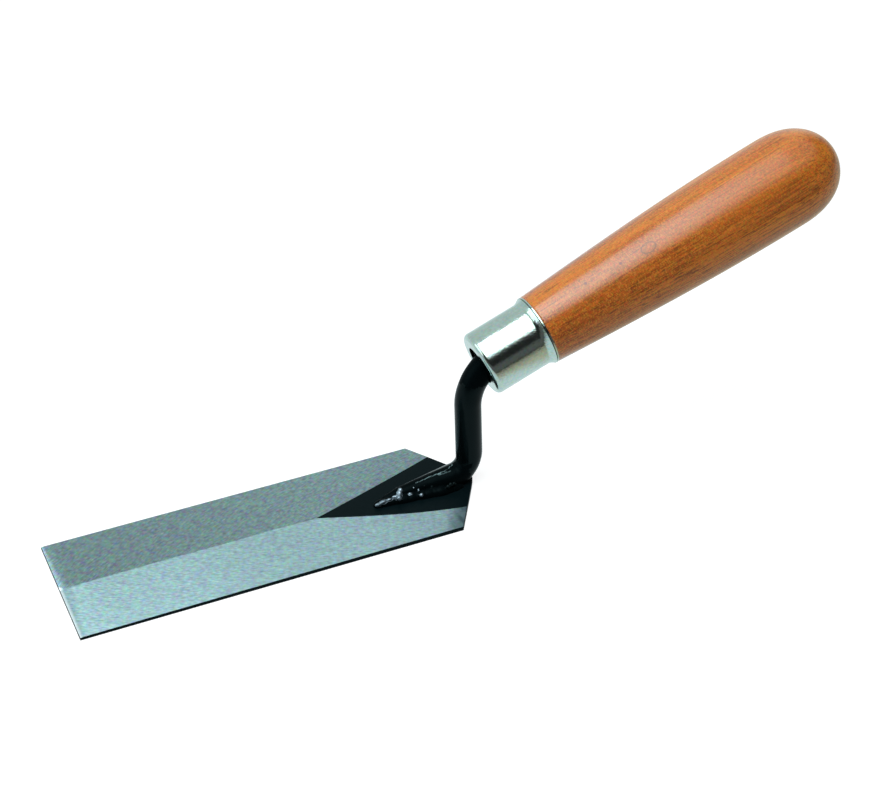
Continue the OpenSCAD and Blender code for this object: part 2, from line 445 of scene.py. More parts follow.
def ground_steel():
    """Bright steel with the fine arcs that a grinding wheel leaves."""
    material, nodes, shader = new_material("ground_steel")
    grind = nodes.add("UVMap", uv_map=GRIND_MAP).outputs["UV"]
    fine = nodes.noise(grind, (0.28 * MM, 2 * MM, EVEN), detail=3)
    broad = nodes.noise(grind, (0.6 * MM, 14 * MM, EVEN), detail=3)
    streaks = nodes.math("ADD", nodes.product(fine, 0.7), nodes.product(broad, 0.3))
    sheen = nodes.fade(streaks, 0.35, 0.65)
    steel = nodes.blend(sheen, *STEEL_TONES)
    # Painted light and shade: the near face brightest at the toe, the far face brightest at the heel
    shaded = {"Vector": steel, "Scale": painted_face_light(nodes)}
    steel = nodes.add("VectorMath", shaded, operation="SCALE").outputs[0]
    hue_strength = nodes.fade(near_face(nodes), 0, 1, low=0.7, high=0.5)
    steel = nodes.tint(steel, grind, 1.2 * MM, hue_strength)
    # The near face darkens in streaks towards the heel's edge
    steel = nodes.blend(heel_edge_darkening(nodes), steel, HEEL_EDGE_DARK_TONE)
    # Painted highlight along the edge of the toe's near half
    steel = nodes.blend(toe_painted_highlight(nodes), steel, TOE_HIGHLIGHT_TONE)
    dress(
        nodes,
        shader,
        base_color=steel,
        metallic=1.0,
        roughness=nodes.fade(sheen, 0, 1, low=0.53, high=0.63),
        anisotropic=0.85,
        tangent=nodes.add("Tangent", direction_type="UV_MAP", uv_map=GRIND_MAP).outputs["Tangent"],
        normal=nodes.bump(streaks, 0.004 * MM),
    )
    return material


def black_lacquer(name, roughness, shine, grain, depth, tone_scale=1.0):
    """Thin black lacquer that shows the texture of the metal under it."""
    material, nodes, shader = new_material(name)
    place = nodes.place()
    coarse = nodes.noise(place, (grain,) * 3, detail=3)
    specks = nodes.noise(place, (0.35 * MM,) * 3, detail=2)
    dark, light = [[tone_scale * part for part in tone] + [1] for tone in LACQUER_TONES]
    height = nodes.math("ADD", coarse, nodes.product(specks, 0.15))
    dress(
        nodes,
        shader,
        base_color=nodes.blend(coarse, dark, light),
        roughness=nodes.fade(specks, NOISE_LOW, NOISE_HIGH, roughness, roughness + 0.08),
        specular_ior_level=shine,
        specular_tint=LACQUER_GLOSS,
        normal=nodes.bump(height, depth),
    )
    return material


def bare_weld():
    """Weld metal that shows where the lacquer has not taken on the lumps."""
    material, nodes, shader = new_material("bare_weld")
    grit = nodes.noise(nodes.place(), (1.2 * MM,) * 3, detail=2)
    dress(
        nodes,
        shader,
        base_color=nodes.blend(nodes.fade(grit, 0.35, 0.6), *BARE_WELD_TONES),
        metallic=1.0,
        roughness=0.45,
        normal=nodes.bump(grit, 0.02 * MM),
    )
    return material


def lip_groove_painted_shade(nodes, place):
    """A mask of painted shade in the groove behind the ferrule's lip."""
    groove_middle = FERRULE_L - LIP_L - LIP_GROOVE / 2
    _, _, along = nodes.split(place)
    off_groove = nodes.math("ABSOLUTE", nodes.math("SUBTRACT", along, groove_middle))
    groove_shade = nodes.fade(off_groove, 0.7 * LIP_GROOVE, 0.4 * LIP_GROOVE)
    return nodes.product(groove_shade, 0.3)


def plated_nickel():
    """Bright nickel plate with faint draw lines along the barrel and dimples that deepen at its mouth."""
    material, nodes, shader = new_material("plated_nickel")
    place = nodes.handle_place()
    draw_lines = nodes.noise(place, (0.25 * MM, 0.25 * MM, 12 * MM), detail=2)
    mottle = nodes.noise(place, (2.5 * MM,) * 3, detail=3)
    dimples = nodes.noise(place, (0.65 * MM,) * 3, detail=2)
    nickel = nodes.blend(mottle, *NICKEL_TONES)
    nickel = nodes.tint(nickel, place, 1.0 * MM, 0.35)
    # Painted shade in the groove behind the ferrule's lip
    nickel = nodes.blend(lip_groove_painted_shade(nodes, place), nickel, GROOVE_SHADE_TONE)
    _, _, along = nodes.split(place)
    dimple_depth = nodes.fade(along, FERRULE_L - 9 * MM, FERRULE_L - 2 * MM, low=1, high=2)
    dimples = nodes.product(dimples, dimple_depth)
    height = nodes.math("ADD", dimples, nodes.product(draw_lines, 0.15))
    dress(
        nodes,
        shader,
        base_color=nickel,
        metallic=1.0,
        roughness=nodes.fade(mottle, NOISE_LOW, NOISE_HIGH, low=0.1, high=0.16),
        normal=nodes.bump(height, 0.03 * MM),
    )
    return material


def distance_from(nodes, place, centre, stretch=(1, 1, 1)):
    """Distance from a centre, with each axis stretched by its own factor."""
    return nodes.length(nodes.vector("MULTIPLY", nodes.vector("SUBTRACT", place, centre), stretch))


def knot_ring(nodes, place):
    """A mask of the thin dark ring round a pin knot, drawn out along the grain."""
    distance = distance_from(nodes, place, KNOT, (1, 1, KNOT_R / KNOT_HALF_L))
    outside = nodes.fade(distance, KNOT_R + KNOT_RING_T, KNOT_R)
    inside = nodes.fade(distance, KNOT_R - KNOT_RING_T, KNOT_R)
    return nodes.product(outside, inside, KNOT_STRENGTH)


def wood_colour(nodes, place, fibres):
    """Colour of the wood: broad bands, dark fibres, veins and pores, and pale flecks across the grain."""
    bands = nodes.noise(place, (5 * MM, 5 * MM, 150 * MM), detail=3)
    veins = nodes.noise(place, (1.1 * MM, 1.1 * MM, 45 * MM), detail=2)
    flecks = nodes.noise(place, (0.75 * MM, 0.75 * MM, 0.42 * MM), detail=2)
    pores = nodes.noise(place, (0.32 * MM, 0.32 * MM, 3.5 * MM), detail=1)
    down, _, along = nodes.split(place)
    towards_butt = nodes.fade(along, 50 * MM, 120 * MM)
    # Painted shade: dark fibres and pores are strongest on the handle's lower side and fainter on its lit
    # top
    grain_shade_below = nodes.fade(down, -11 * MM, -4 * MM, low=0.45)
    dark_fibres = nodes.product(grain_shade_below, nodes.fade(fibres, 0.5, 0.63, high=0.75))
    dark_veins = nodes.fade(veins, 0.58, 0.68, high=0.6)
    fleck_strength = nodes.fade(towards_butt, 0, 1, low=0.5, high=0.22)
    pale_flecks = nodes.product(fleck_strength, nodes.fade(flecks, 0.48, 0.62))
    dark_pores = nodes.product(grain_shade_below, nodes.fade(pores, 0.56, 0.68, high=0.7))
    wood = nodes.blend(nodes.fade(bands, 0.38, 0.62), *WOOD_TONES)
    wood = nodes.blend(dark_fibres, wood, FIBRE_TONE)
    wood = nodes.blend(dark_veins, wood, VEIN_TONE)
    wood = nodes.blend(pale_flecks, wood, FLECK_TONE)
    wood = nodes.blend(dark_pores, wood, PORE_TONE)
    wood = nodes.tint(wood, place, 0.8 * MM, 0.68)
    # The wood is painted paler and yellower towards the butt, partly its own tone and partly painted light
    return nodes.vector("MULTIPLY", wood, nodes.blend(towards_butt, FERRULE_END_SHADE, BUTT_END_SHADE))


def lacquered_wood():
    """Orange-brown hardwood under a clear lacquer, with its grain along the handle."""
    material, nodes, shader = new_material("lacquered_wood")
    place = nodes.handle_place()
    fibres = nodes.noise(place, (0.5 * MM, 0.5 * MM, 60 * MM), detail=4)
    wood = wood_colour(nodes, place, fibres)
    wood = nodes.blend(knot_ring(nodes, place), wood, KNOT_TONE)
    for centre in SPECKS:
        speck = nodes.fade(distance_from(nodes, place, centre), SPECK_R, SPECK_CORE_R)
        wood = nodes.blend(speck, wood, SPECK_TONE)
    dress(
        nodes,
        shader,
        base_color=wood,
        roughness=nodes.fade(fibres, NOISE_LOW, NOISE_HIGH, low=0.38, high=0.5),
        specular_ior_level=0.15,
        coat_weight=1.0,
        coat_ior=1.5,
        coat_roughness=0.18,
        normal=nodes.bump(fibres, 0.01 * MM),
    )
    return material


def dark_resin():
    """Dark resin with small bubbles, seen only past the shank."""
    material, nodes, shader = new_material("dark_resin")
    bubbles = nodes.noise(nodes.place(), (0.8 * MM,) * 3, detail=2)
    dress(
        nodes,
        shader,
        base_color=nodes.blend(bubbles, *RESIN_TONES),
        roughness=0.6,
        specular_ior_level=0.1,
        normal=nodes.bump(bubbles, 0.05 * MM),
    )
    return material


def make_piece(name, bm, materials, node, smooth=True):
    """Turns a bmesh into a piece that rides on the root body and stands for a CAD node."""
    mesh = bpy.data.meshes.new(name)
    bm.to_mesh(mesh)
    bm.free()
    for material in materials:
        mesh.materials.append(material)
    for polygon in mesh.polygons:
        polygon.use_smooth = smooth
    mesh.set_sharp_from_angle(angle=SHARP_ANGLE)
    piece = bpy.data.objects.new(name, mesh)
    bpy.context.scene.collection.objects.link(piece)
    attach(piece, "root")
    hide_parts(node)


def add_grid(bm, rows, material_index):
    """Adds a sheet of quads through rows of points."""
    grid = [[bm.verts.new(point) for point in row] for row in rows]
    for row, next_row in zip(grid, grid[1:]):
        for a, b, c, d in zip(row, row[1:], next_row[1:], next_row):
            bm.faces.new((a, b, c, d)).material_index = material_index


def line_points(start, end, steps):
    """Evenly spaced points on a straight line."""
    return [start.lerp(end, share) for share in shares(steps)]


def ground_z(x, y):
    """Height of the ground faces, which fall from the ridge to the long edges."""
    return RIDGE_TOE_T + RIDGE_SLOPE * (x - TOE_X) - SIDE_SLOPE * abs(y)


def heel_edge_x(y):
    """Where the heel's edge lies: straight, but blunt at its point, and further back on the far side."""
    corner_x = HEEL_X + (HEEL_SKEW if y > 0 else 0)
    return HEEL_POINT_X - (HEEL_POINT_X - corner_x) * hypot(y, HEEL_BLUNTNESS) / HALF_W


def bevel_end_x(y):
    """Where the toe's bevel meets the ground face."""
    return TOE_X + (RIDGE_TOE_T - TOE_T - SIDE_SLOPE * abs(y)) / (BEVEL_SLOPE - RIDGE_SLOPE)


def ridge_point(share):
    """A point on the hand-ground ridge, from the toe's bevel to the tip of the unground patch."""
    x = mix(bevel_end_x(0), PATCH_TIP_X, share)
    settle = 1 - share**RIDGE_SETTLE_POWER
    y = settle * (RIDGE_Y + RIDGE_WANDER * noise.noise((x / RIDGE_WANDER_L, 0, 0)))
    return Vector((x, y, ground_z(x, 0)))


def patch_edge_point(side, share):
    """A point on one side of the unground patch, from its tip to the heel's edge."""
    end_y = PATCH_SPREAD[side] - PATCH_CURL[side]
    end_x = heel_edge_x(side * end_y)
    y = PATCH_SPREAD[side] * share - PATCH_CURL[side] * share**3
    return Vector((mix(PATCH_TIP_X, end_x, share), side * y, PLATE_T))


def ground_face_rows(side):
    """Rows of points over one ground face, from the toe's edge to the heel's."""
    ridge_steps = 40
    patch_steps = 30
    across = 10
    inner = [ridge_point(share) for share in shares(ridge_steps)[:-1]]
    inner += [patch_edge_point(side, share) for share in shares(patch_steps)]
    outer_start = bevel_end_x(HALF_W)
    outer_end = heel_edge_x(side * HALF_W)
    rows = []
    for point in inner:
        share = (point.x - inner[0].x) / (inner[-1].x - inner[0].x)
        x = mix(outer_start, outer_end, share)
        rows.append(line_points(point, Vector((x, side * HALF_W, ground_z(x, HALF_W))), across))
    toe_row = [Vector((TOE_X, point.y, TOE_T)) for point in rows[0]]
    return [toe_row] + rows


def patch_rows():
    """Rows of points over the unground patch, from its tip to the heel's point."""
    steps = 30
    heel_steps = 16
    across = 12
    near = [patch_edge_point(NEAR, share) for share in shares(steps)]
    far = [patch_edge_point(FAR, share) for share in shares(steps)]
    rows = [line_points(a, b, across) for a, b in zip(near, far)]
    for share in shares(heel_steps)[1:]:
        ends_y = [edge[-1].y * (1 - share) for edge in (near, far)]
        ends = [Vector((heel_edge_x(y), y, PLATE_T)) for y in ends_y]
        rows.append(line_points(*ends, across))
    return rows


def close_below(bm, sole_material, wall_material):
    """Copies an open sheet down to a level sole, and walls in the gap between them."""
    tops = list(bm.verts)
    faces = list(bm.faces)
    rim = [edge.verts[:] for edge in bm.edges if edge.is_boundary]
    below = {vert: bm.verts.new((vert.co.x, vert.co.y, 0)) for vert in tops}
    for face in faces:
        bm.faces.new([below[vert] for vert in face.verts]).material_index = sole_material
    for a, b in rim:
        bm.faces.new((a, b, below[b], below[a])).material_index = wall_material
    bmesh.ops.recalc_face_normals(bm, faces=bm.faces)


def on_rim(edge):
    """Whether an edge lies between the blade's narrow side and its top or sole."""
    finishes = {face.material_index for face in edge.link_faces}
    return BLADE_EDGE in finishes and len(finishes) == 2


def map_grinding(bm):
    """Lays a map whose first axis crosses the grinding arcs and whose second follows them."""
    layer = bm.loops.layers.uv.new(GRIND_MAP)
    wheel_r = hypot(WHEEL_X, WHEEL_Y)
    for face in bm.faces:
        side = FAR if face.calc_center_median().y > 0 else NEAR
        for loop in face.loops:
            x = loop.vert.co.x - WHEEL_X
            y = side * loop.vert.co.y - WHEEL_Y
            loop[layer].uv = (hypot(x, y), wheel_r * atan2(x, y))


def make_blade(steel, patch_lacquer, edge_lacquer):
    """The ground blade with its unground patch and its lacquered edges."""
    bm = bmesh.new()
    for side in (NEAR, FAR):
        add_grid(bm, ground_face_rows(side), BLADE_STEEL)
    add_grid(bm, patch_rows(), BLADE_PATCH)
    bmesh.ops.remove_doubles(bm, verts=bm.verts, dist=ROUNDING)
    bmesh.ops.dissolve_degenerate(bm, edges=bm.edges, dist=ROUNDING)
    close_below(bm, BLADE_STEEL, BLADE_EDGE)
    rims = [edge for edge in bm.edges if on_rim(edge)]
    bmesh.ops.bevel(bm, geom=rims, offset=RIM_BEVEL, segments=1, affect="EDGES", material=BLADE_EDGE)
    map_grinding(bm)
    materials = (steel, patch_lacquer, edge_lacquer)
    make_piece("ground_blade", bm, materials, "blade", smooth=False)


def add_loft(bm, rings):
    """Skins a row of closed rings and caps both ends."""
    loops = [[bm.verts.new(point) for point in ring] for ring in rings]
    for loop, next_loop in zip(loops, loops[1:]):
        for i in range(len(loop)):
            j = (i + 1) % len(loop)
            bm.faces.new((loop[i], loop[j], next_loop[j], next_loop[i]))
    bm.faces.new(reversed(loops[0]))
    bm.faces.new(loops[-1])


def bar_ring(front, back, half_width):
    """One ring of the shank between its outline points on the toe's side and the heel's side."""
    segments = 48
    centre = (front + back) / 2
    ring = []
    for turn in circle_turns(segments):
        point = centre + (back - centre) * cos(turn)
        ring.append(Vector((point.x, half_width * sin(turn), point.z)))
    return ring


def in_plane(x, z):
    """A point or direction in the plane of the tool's symmetry."""
    return Vector((x, 0, z))


def tangent_arc(start, slope, upright_x, radius):
    """Centre of the arc that joins a sloping line from start to an upright line behind it."""
    centre_x = upright_x - radius
    lift = radius / cos(slope)
    return in_plane(centre_x, start.z + (centre_x - start.x) * tan(slope) + lift)


def arc_point(centre, radius, turn):
    """A point on an arc that turns from straight down to straight back."""
    return centre + radius * in_plane(sin(turn), -cos(turn))


def foot_rings():
    """Rings of the foot and the lower bend, from the foot's tip to the neck."""
    foot_steps = 28
    bend_steps = 28
    tip_top = in_plane(FOOT_TIP_X, PLATE_T + FOOT_TIP_R)
    tip_sole = in_plane(FOOT_TIP_X, PLATE_T - FOOT_TIP_R)
    top_slope = atan((FOOT_Z + BAR_R - tip_top.z) / FOOT_L)
    sole_slope = atan((FOOT_Z - BAR_R - tip_sole.z) / FOOT_L)
    top_arc = tangent_arc(tip_top, top_slope, NECK_X - BAR_R, HEEL_BEND_FRONT_R)
    sole_arc = tangent_arc(tip_sole, sole_slope, NECK_X + BAR_R, HEEL_BEND_BACK_R)
    bend_top = arc_point(top_arc, HEEL_BEND_FRONT_R, top_slope)
    bend_sole = arc_point(sole_arc, HEEL_BEND_BACK_R, sole_slope)
    rings = []
    for share in shares(foot_steps)[:-1]:
        half_width = mix(FOOT_TIP_R, BAR_R, share)
        slant = FOOT_SLANT * max(0, 1 - share / FOOT_SLANT_SHARE) ** 2
        ring = bar_ring(tip_top.lerp(bend_top, share), tip_sole.lerp(bend_sole, share), half_width)
        rings.append([point + in_plane(slant * (point.y + half_width), 0) for point in ring])
    for share in shares(bend_steps):
        front = arc_point(top_arc, HEEL_BEND_FRONT_R, mix(top_slope, pi / 2, share))
        back = arc_point(sole_arc, HEEL_BEND_BACK_R, mix(sole_slope, pi / 2, share))
        rings.append(bar_ring(front, back, BAR_R))
    return rings


def crank_front(turn):
    """Direction from the middle of the upper bend to the side of the bar that faces the toe."""
    return in_plane(-cos(turn), sin(turn))


def neck_rings():
    """Rings of the upper bend and the tang."""
    bend_steps = 32
    tang_steps = 12
    bend_start = CRANK_H - CRANK_R * tan(HANDLE_TURN / 2)
    centre = in_plane(NECK_X + CRANK_R, bend_start)
    rings = []
    for share in shares(bend_steps):
        outward = crank_front(HANDLE_TURN * share)
        front = centre + outward * (CRANK_R + BAR_R)
        back = centre + outward * (CRANK_R - BAR_R)
        rings.append(bar_ring(front, back, BAR_R))
    outward = crank_front(HANDLE_TURN)
    start = centre + outward * CRANK_R
    for share in shares(tang_steps)[1:]:
        radius = mix(BAR_R, TANG_TIP_R, share)
        middle = start + HANDLE_AXIS * TANG_L * share
        rings.append(bar_ring(middle + outward * radius, middle - outward * radius, radius))
    return rings


def shank_finish(place):
    """Material at a place on the shank: lacquer, dull soot or the wet gloss on the foot's far side."""
    ragged = SOOT_RAGGEDNESS * noise.noise(place / SOOT_RAGGEDNESS)
    if place.z > BEND_SOOT_Z + ragged:
        return SHANK_SOOT
    if place.z > SOOT_TOP_Z + ragged or place.x > SOOT_END_X + ragged:
        return SHANK_LACQUER
    return SHANK_SOOT if place.y < SOOT_EDGE_Y else SHANK_GLOSS


def make_shank(lacquer, soot, gloss):
    """The forged bar: foot, lower bend, neck, upper bend and tang."""
    bm = bmesh.new()
    add_loft(bm, foot_rings() + neck_rings())
    bmesh.ops.recalc_face_normals(bm, faces=bm.faces)
    bm.normal_update()
    for vert in bm.verts:
        vert.co += vert.normal * FORGED_ROUGHNESS * noise.noise(vert.co / FORGED_GRAIN)
        vert.co.z = max(vert.co.z, PLATE_T)
    for face in bm.faces:
        face.material_index = shank_finish(face.calc_center_median())
    make_piece("forged_shank", bm, (lacquer, soot, gloss), "shank")


def foot_half_width(share):
    """Half width of the foot on the blade's top, from the foot's tip to the bend."""
    radius = mix(FOOT_TIP_R, BAR_R, share)
    rise = (FOOT_Z - PLATE_T) * share
    return sqrt(radius**2 - rise**2)


def unevenness(index, steps, row=1):
    """A number between about -1 and 1 for one lump of a row, the same each time."""
    lump_step, row_step, level = steps
    return noise.noise((index * lump_step, row * row_step, level))


def add_lump(bm, place, radius, half_length):
    """Adds one lump of weld, a ball drawn out along the run."""
    shape = Matrix.Translation(place) @ Matrix.Diagonal((half_length / radius, 1, 1, 1))
    bmesh.ops.create_icosphere(bm, subdivisions=3, radius=radius, matrix=shape)


def run_lumps(bm, side):
    """Adds the ripples of one side run of weld."""
    for i in range(RIPPLES):
        share = mix(WELD_START[side], 1, (i + 0.5) / RIPPLES)
        swell = 1 + RIPPLE_UNEVENNESS * unevenness(i, RIPPLE_NOISE, row=side)
        ending = sqrt(min(1, RUN_END_RATE * (1 - share) + RUN_END_SHARE))
        radius = WELD_FULLNESS[side] * mix(WELD_TIP_R, WELD_BEND_R, share) * ending * swell
        x = FOOT_TIP_X + WELD_RUN_L * share
        y = foot_half_width(share) + RIPPLE_OFFSET * radius
        add_lump(bm, (x, side * y, PLATE_T), radius, RIPPLE_STRETCH * radius)


def row_lumps(rows):
    """Centre, radius and half length of every lump in rows that wander a little."""
    lumps = []
    for start, end, count, radius, half_length in rows:
        for i, share in enumerate(shares(count - 1)):
            place = Vector(start).lerp(Vector(end), share) * MM
            wander = unevenness(i, LUMP_NOISE)
            place.y += radius * wander * MM
            swell = (1 + LUMP_UNEVENNESS * wander) * MM
            lumps.append((place, radius * swell, half_length * swell))
    return lumps


def on_lump(point, place, radius, half_length):
    """Whether a point lies on a lump's skin or within it."""
    offset = point - place
    offset.x *= radius / half_length
    return offset.length < radius + WELD_WAVES


def melt_together(bm):
    """Fuses overlapping lumps into one smooth skin and cuts it level with the blade."""
    mesh = bpy.data.meshes.new("lumps")
    bm.to_mesh(mesh)
    bm.free()
    lumps = bpy.data.objects.new("lumps", mesh)
    bpy.context.scene.collection.objects.link(lumps)
    remesh = lumps.modifiers.new("fuse", "REMESH")
    remesh.mode = "VOXEL"
    remesh.voxel_size = WELD_VOXEL
    soften = lumps.modifiers.new("soften", "SMOOTH")
    soften.factor = 0.5
    soften.iterations = 2
    fused = bmesh.new()
    fused.from_object(lumps, bpy.context.evaluated_depsgraph_get())
    bpy.data.objects.remove(lumps)
    fused.normal_update()
    for vert in fused.verts:
        vert.co += vert.normal * WELD_WAVES * noise.noise(vert.co / WELD_WAVE_L)
    everything = fused.verts[:] + fused.edges[:] + fused.faces[:]
    cut = bmesh.ops.bisect_plane(
        fused, geom=everything, plane_co=(0, 0, PLATE_T), plane_no=(0, 0, 1), clear_inner=True
    )
    rim = [item for item in cut["geom_cut"] if isinstance(item, bmesh.types.BMEdge)]
    bmesh.ops.holes_fill(fused, edges=rim)
    return fused


def make_near_weld(lacquer, bare_metal, gloss, satin):
    """The near run of weld, with bare, glossy and satin lumps on it and on the foot."""
    finishes = [row_lumps(rows) for rows in (BARE_ROWS, GLOSSY_ROWS, SATIN_ROWS)]
    bm = bmesh.new()
    run_lumps(bm, NEAR)
    for lumps in finishes:
        for lump in lumps:
            add_lump(bm, *lump)
    fused = melt_together(bm)
    for face in fused.faces:
        middle = face.calc_center_median()
        for finish, lumps in enumerate(finishes, 1):
            if any(on_lump(middle, *lump) for lump in lumps):
                face.material_index = finish
    materials = (lacquer, bare_metal, gloss, satin)
    make_piece("near_bead", fused, materials, "weld_run_left")


def make_far_weld(gloss):
    """The lean run of weld on the foot's far side."""
    bm = bmesh.new()
    run_lumps(bm, FAR)
    make_piece("far_bead", melt_together(bm), (gloss,), "weld_run_right")


def make_nose_weld(lacquer):
    """The weld along the foot's slanted tip."""
    bm = bmesh.new()
    for share in NOSE_SHARES:
        x = FOOT_TIP_X + 2 * FOOT_TIP_R * FOOT_SLANT * share
        y = mix(-FOOT_TIP_R, FOOT_TIP_R, share)
        add_lump(bm, (x, y, PLATE_T), WELD_NOSE_R, WELD_NOSE_R)
    make_piece("nose_bead", melt_together(bm), (lacquer,), "weld_nose")


def lathe(profile, closed):
    """Turns a profile of radius and distance along the handle's axis into a round solid."""
    segments = 128
    turns = circle_turns(segments)
    bm = bmesh.new()
    rings = []
    for radius, along in profile:
        if radius < ROUNDING:
            rings.append([bm.verts.new((0, 0, along))] * segments)
        else:
            rings.append([bm.verts.new((radius * cos(turn), radius * sin(turn), along)) for turn in turns])
    if closed:
        rings.append(rings[0])
    for ring, next_ring in zip(rings, rings[1:]):
        for i in range(segments):
            j = (i + 1) % segments
            corners = dict.fromkeys((ring[i], ring[j], next_ring[j], next_ring[i]))
            bm.faces.new(corners)
    bmesh.ops.recalc_face_normals(bm, faces=bm.faces)
    bm.transform(HANDLE_PLACE)
    return bm


def flare_profile(inset):
    """The ferrule's mouth, from the barrel to the lip, inset by the sheet's thickness or not at all."""
    steps = 12
    start = FERRULE_L - LIP_L - LIP_GROOVE - FLARE_L
    return [
        (FERRULE_R - inset + (MOUTH_R - FERRULE_R) * (1 - cos(pi / 2 * share)), start + FLARE_L * share)
        for share in shares(steps)
    ]


def lip_profile():
    """The groove behind the ferrule's lip, and the lip itself, rounded over towards the wood."""
    steps = 8
    groove_end = FERRULE_L - LIP_L
    groove = [(MOUTH_R - LIP_GROOVE, groove_end - LIP_GROOVE / 2), (MOUTH_R, groove_end)]
    lip = [
        (MOUTH_R - LIP_R + LIP_R * cos(turn), FERRULE_L - LIP_R + LIP_R * sin(turn))
        for turn in quarter_turns(steps)
    ]
    return groove + lip


def corner_profile(inset):
    """The ferrule's rounded front corner, from the front face to the barrel."""
    steps = 12
    radius = FERRULE_CORNER_R - inset
    middle = FERRULE_R - FERRULE_CORNER_R
    return [
        (middle + radius * sin(turn), FERRULE_CORNER_R - radius * cos(turn))
        for turn in quarter_turns(steps)
    ]


def make_ferrule(nickel):
    """The sheet cup: round its outside from the hole to the lip, and back along its inside."""
    profile = [(FERRULE_HOLE_R, 0)] + corner_profile(0) + flare_profile(0) + lip_profile()
    profile += [(MOUTH_R - FERRULE_WALL, FERRULE_L)]
    profile += flare_profile(FERRULE_WALL)[::-1] + corner_profile(FERRULE_WALL)[::-1]
    profile += [(FERRULE_HOLE_R, FERRULE_WALL)]
    make_piece("plated_ferrule", lathe(profile, closed=True), (nickel,), "ferrule")


def grip_profile():
    """The wood that shows, from the ferrule's mouth to the end of the butt."""
    steps = 48
    butt_steps = 32
    butt_start = GRIP_END - BUTT_L
    grip = [
        (mix(MOUTH_R, GRIP_R, sin(pi / 2 * share)), mix(FERRULE_L, butt_start, share))
        for share in shares(steps)
    ]
    grip[0] = (MOUTH_R - SHOULDER_GROOVE, FERRULE_L)
    grip.insert(1, (MOUTH_R, FERRULE_L + SHOULDER_GROOVE))
    ends = [sin(turn) for turn in quarter_turns(butt_steps)[1:]]
    return grip + [(GRIP_R * sqrt(1 - end**BUTT_POWER), butt_start + BUTT_L * end) for end in ends]


def make_handle(wood, resin):
    """The handle, with resin smeared over the end of the wood inside the ferrule."""
    profile = [(0, BORE_END), (BORE_R, BORE_END), (BORE_R, SPIGOT_START)]
    profile += [(FERRULE_R - FERRULE_WALL, SPIGOT_START)] + flare_profile(FERRULE_WALL)
    profile += grip_profile()
    bm = lathe(profile, closed=False)
    materials = (wood, resin)
    to_handle = HANDLE_PLACE.inverted()
    for face in bm.faces:
        if (to_handle @ face.calc_center_median()).z < SPIGOT_START + ROUNDING:
            face.material_index = materials.index(resin)
    make_piece("turned_handle", bm, materials, "handle")


def finish_resin(resin):
    """The resin keeps its CAD shape and takes a new material."""
    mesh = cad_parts["tang_resin"].data
    mesh.materials.clear()
    mesh.materials.append(resin)


def add_camera():
    """A camera that looks from the photograph's angle, slid sideways and up to its framing."""
    azimuth, elevation = CAMERA_AZIMUTH, CAMERA_ELEVATION
    back = Vector((sin(azimuth) * cos(elevation), -cos(azimuth) * cos(elevation), sin(elevation)))
    right = Vector((0, 0, 1)).cross(back).normalized()
    up = back.cross(right)
    rolled_right = right * cos(CAMERA_ROLL) + up * sin(CAMERA_ROLL)
    rolled_up = up * cos(CAMERA_ROLL) - right * sin(CAMERA_ROLL)
    data = bpy.data.cameras.new("camera")
    data.lens = LENS_MM
    data.sensor_width = SENSOR_MM
    data.clip_start = CAMERA_CLIP
    camera = bpy.data.objects.new("camera", data)
    bpy.context.scene.collection.objects.link(camera)
    turn = Matrix((rolled_right, rolled_up, back)).transposed().to_4x4()
    place = back * CAMERA_DISTANCE + rolled_right * CAMERA_SLIDE_RIGHT + rolled_up * CAMERA_SLIDE_UP
    camera.matrix_world = Matrix.Translation(place) @ turn
    bpy.context.scene.camera = camera


def add_softbox(name, width, depth, place, aim, radiance):
    """A soft, slightly cool area lamp whose face has the given radiance."""
    data = bpy.data.lights.new(name, "AREA")
    data.shape = "RECTANGLE"
    data.size = width
    data.size_y = depth
    data.energy = radiance * pi * width * depth
    data.color = LAMP_COLOUR
    lamp = bpy.data.objects.new(name, data)
    bpy.context.scene.collection.objects.link(lamp)
    place = Vector(place)
    turn = (place - Vector(aim)).to_track_quat("Z", "Y").to_matrix().to_4x4()
    lamp.matrix_world = Matrix.Translation(place) @ turn
    return lamp


def add_key_lamp():
    """A softbox overhead, brightest along a line over the object and fading out to its right."""
    line_along = 0.375
    line_reach = 0.75
    full_across = 0.59
    height = 0.65
    y = -0.22
    lamp = add_softbox("key", width=0.6, depth=0.8, place=(0, y, height), aim=(0, y, 0), radiance=5.6)
    lamp.data.use_nodes = True
    nodes = Nodes(lamp.data.node_tree)
    across, along, _ = nodes.split(nodes.add("NewGeometry").outputs["Parametric"])
    off_line = nodes.math("ABSOLUTE", nodes.math("SUBTRACT", along, line_along))
    glow = nodes.product(nodes.fade(off_line, line_reach, 0), nodes.fade(across, 0, full_across))
    nodes.feed(nodes.tree.nodes["Emission"].inputs["Strength"], glow)


def add_fill_lamp():
    """A weaker softbox on the left that faces right."""
    height = 0.49
    y = 0.15
    add_softbox("fill", width=0.7, depth=0.58, place=(-0.75, y, height), aim=(0, y, height), radiance=1.5)


def table_gleam(nodes):
    """Painted glow that metal sees on the table: bright behind the tool, dim in front, warm under the
    handle.
    """
    right, back, _ = nodes.split(nodes.place())
    strength = nodes.fade(back, -0.3, -0.02, low=0.03, high=0.92)
    under_handle = nodes.fade(nodes.math("MULTIPLY_ADD", back, -0.35, right), 0.12, 0.15)
    colour = nodes.blend(under_handle, (*LAMP_COLOUR, 1), PAINTED_WOOD_BOUNCE)
    return nodes.add("Emission", {"Color": colour, "Strength": strength}).outputs[0]


def table_white(nodes):
    """What the camera sees of the table: white, but for the object's shadow."""
    veil = nodes.add("BsdfDiffuse", {"Color": TABLE_VEIL}).outputs[0]
    off_centre = nodes.length(nodes.place())
    glow = nodes.add("Emission", {"Strength": nodes.fade(off_centre, 0.25, 0.9, low=0.84)}).outputs[0]
    return nodes.add("AddShader", (veil, glow)).outputs[0]


